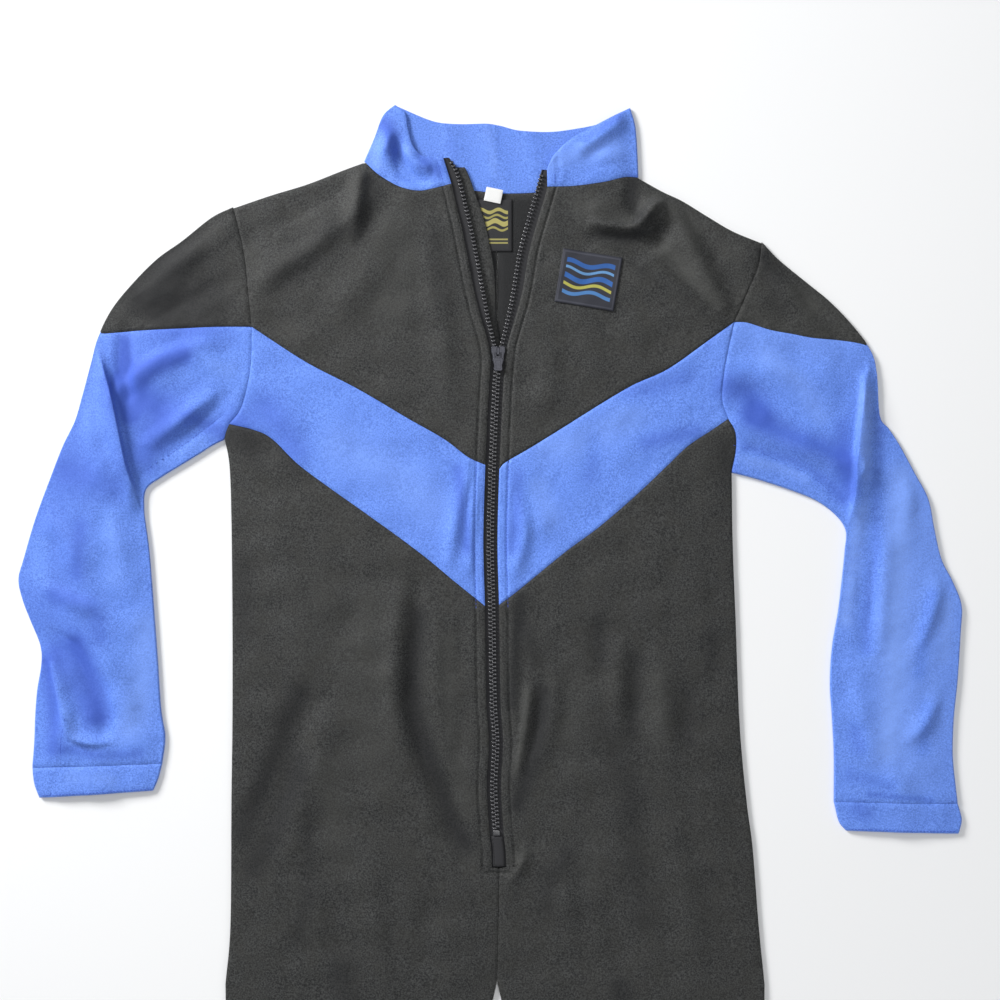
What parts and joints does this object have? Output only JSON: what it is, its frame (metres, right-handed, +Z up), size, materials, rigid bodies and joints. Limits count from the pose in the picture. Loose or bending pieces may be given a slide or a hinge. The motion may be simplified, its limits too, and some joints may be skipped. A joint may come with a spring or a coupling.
{
  "type": "wetsuit",
  "caption": "Full-length stretch-knit dive suit laid flat, long sleeves, standing collar, part-open front zip, slanted blue chest band.",
  "frame": {"origin": "middle of the suit's outline on the surface it lies on, under its back", "axes": "+X towards the wearer's left sleeve, +Y from ankles to collar, +Z up out of the front"},
  "size_m": [0.9439, 1.6255, 0.0141],
  "materials": {
    "black_knit": "soft matt stretch knit with a fine nap, charcoal black",
    "blue_knit": "soft stretch knit with a slight sheen, royal blue",
    "zip_tape": "woven polyester zip tape, black",
    "zip_teeth": "moulded black acetal teeth, slightly glossy",
    "slider_metal": "black enamelled die-cast metal",
    "patch_cloth": "woven satin-faced label cloth, dark",
    "tab_cloth": "white printed satin tab, plain"
  },
  "bodies": {
    "suit": {"back_right": "black_knit", "back_left": "black_knit", "front_right": "black_knit", "front_left": "black_knit", "yoke_right": "black_knit", "yoke_left": "black_knit", "cap_right": "black_knit", "cap_left": "black_knit", "chevron_right": "blue_knit", "chevron_left": "blue_knit", "sleeve_right": "blue_knit", "sleeve_left": "blue_knit", "cuff_right": "blue_knit", "cuff_left": "blue_knit", "collar": "blue_knit", "zip_guard": "black_knit", "zip_tape_right": "zip_tape", "zip_tape_left": "zip_tape", "zip_teeth_right": "zip_teeth", "zip_teeth_left": "zip_teeth", "zip_stop": "zip_teeth", "zip_end_patch": "zip_tape", "zip_slider": "slider_metal", "chest_patch": "patch_cloth", "neck_label": "patch_cloth", "size_tab": "tab_cloth"},
    "pull_tab": {"zip_pull": "slider_metal"}
  },
  "joints": [
    {"name": "pull_hinge", "type": "hinge", "parent": "suit", "child": "pull_tab", "pos_m": [0.0081, 0.5635, 0.01015], "axis": [-1, 0, 0], "range_deg": [0, 135]}
  ]
}
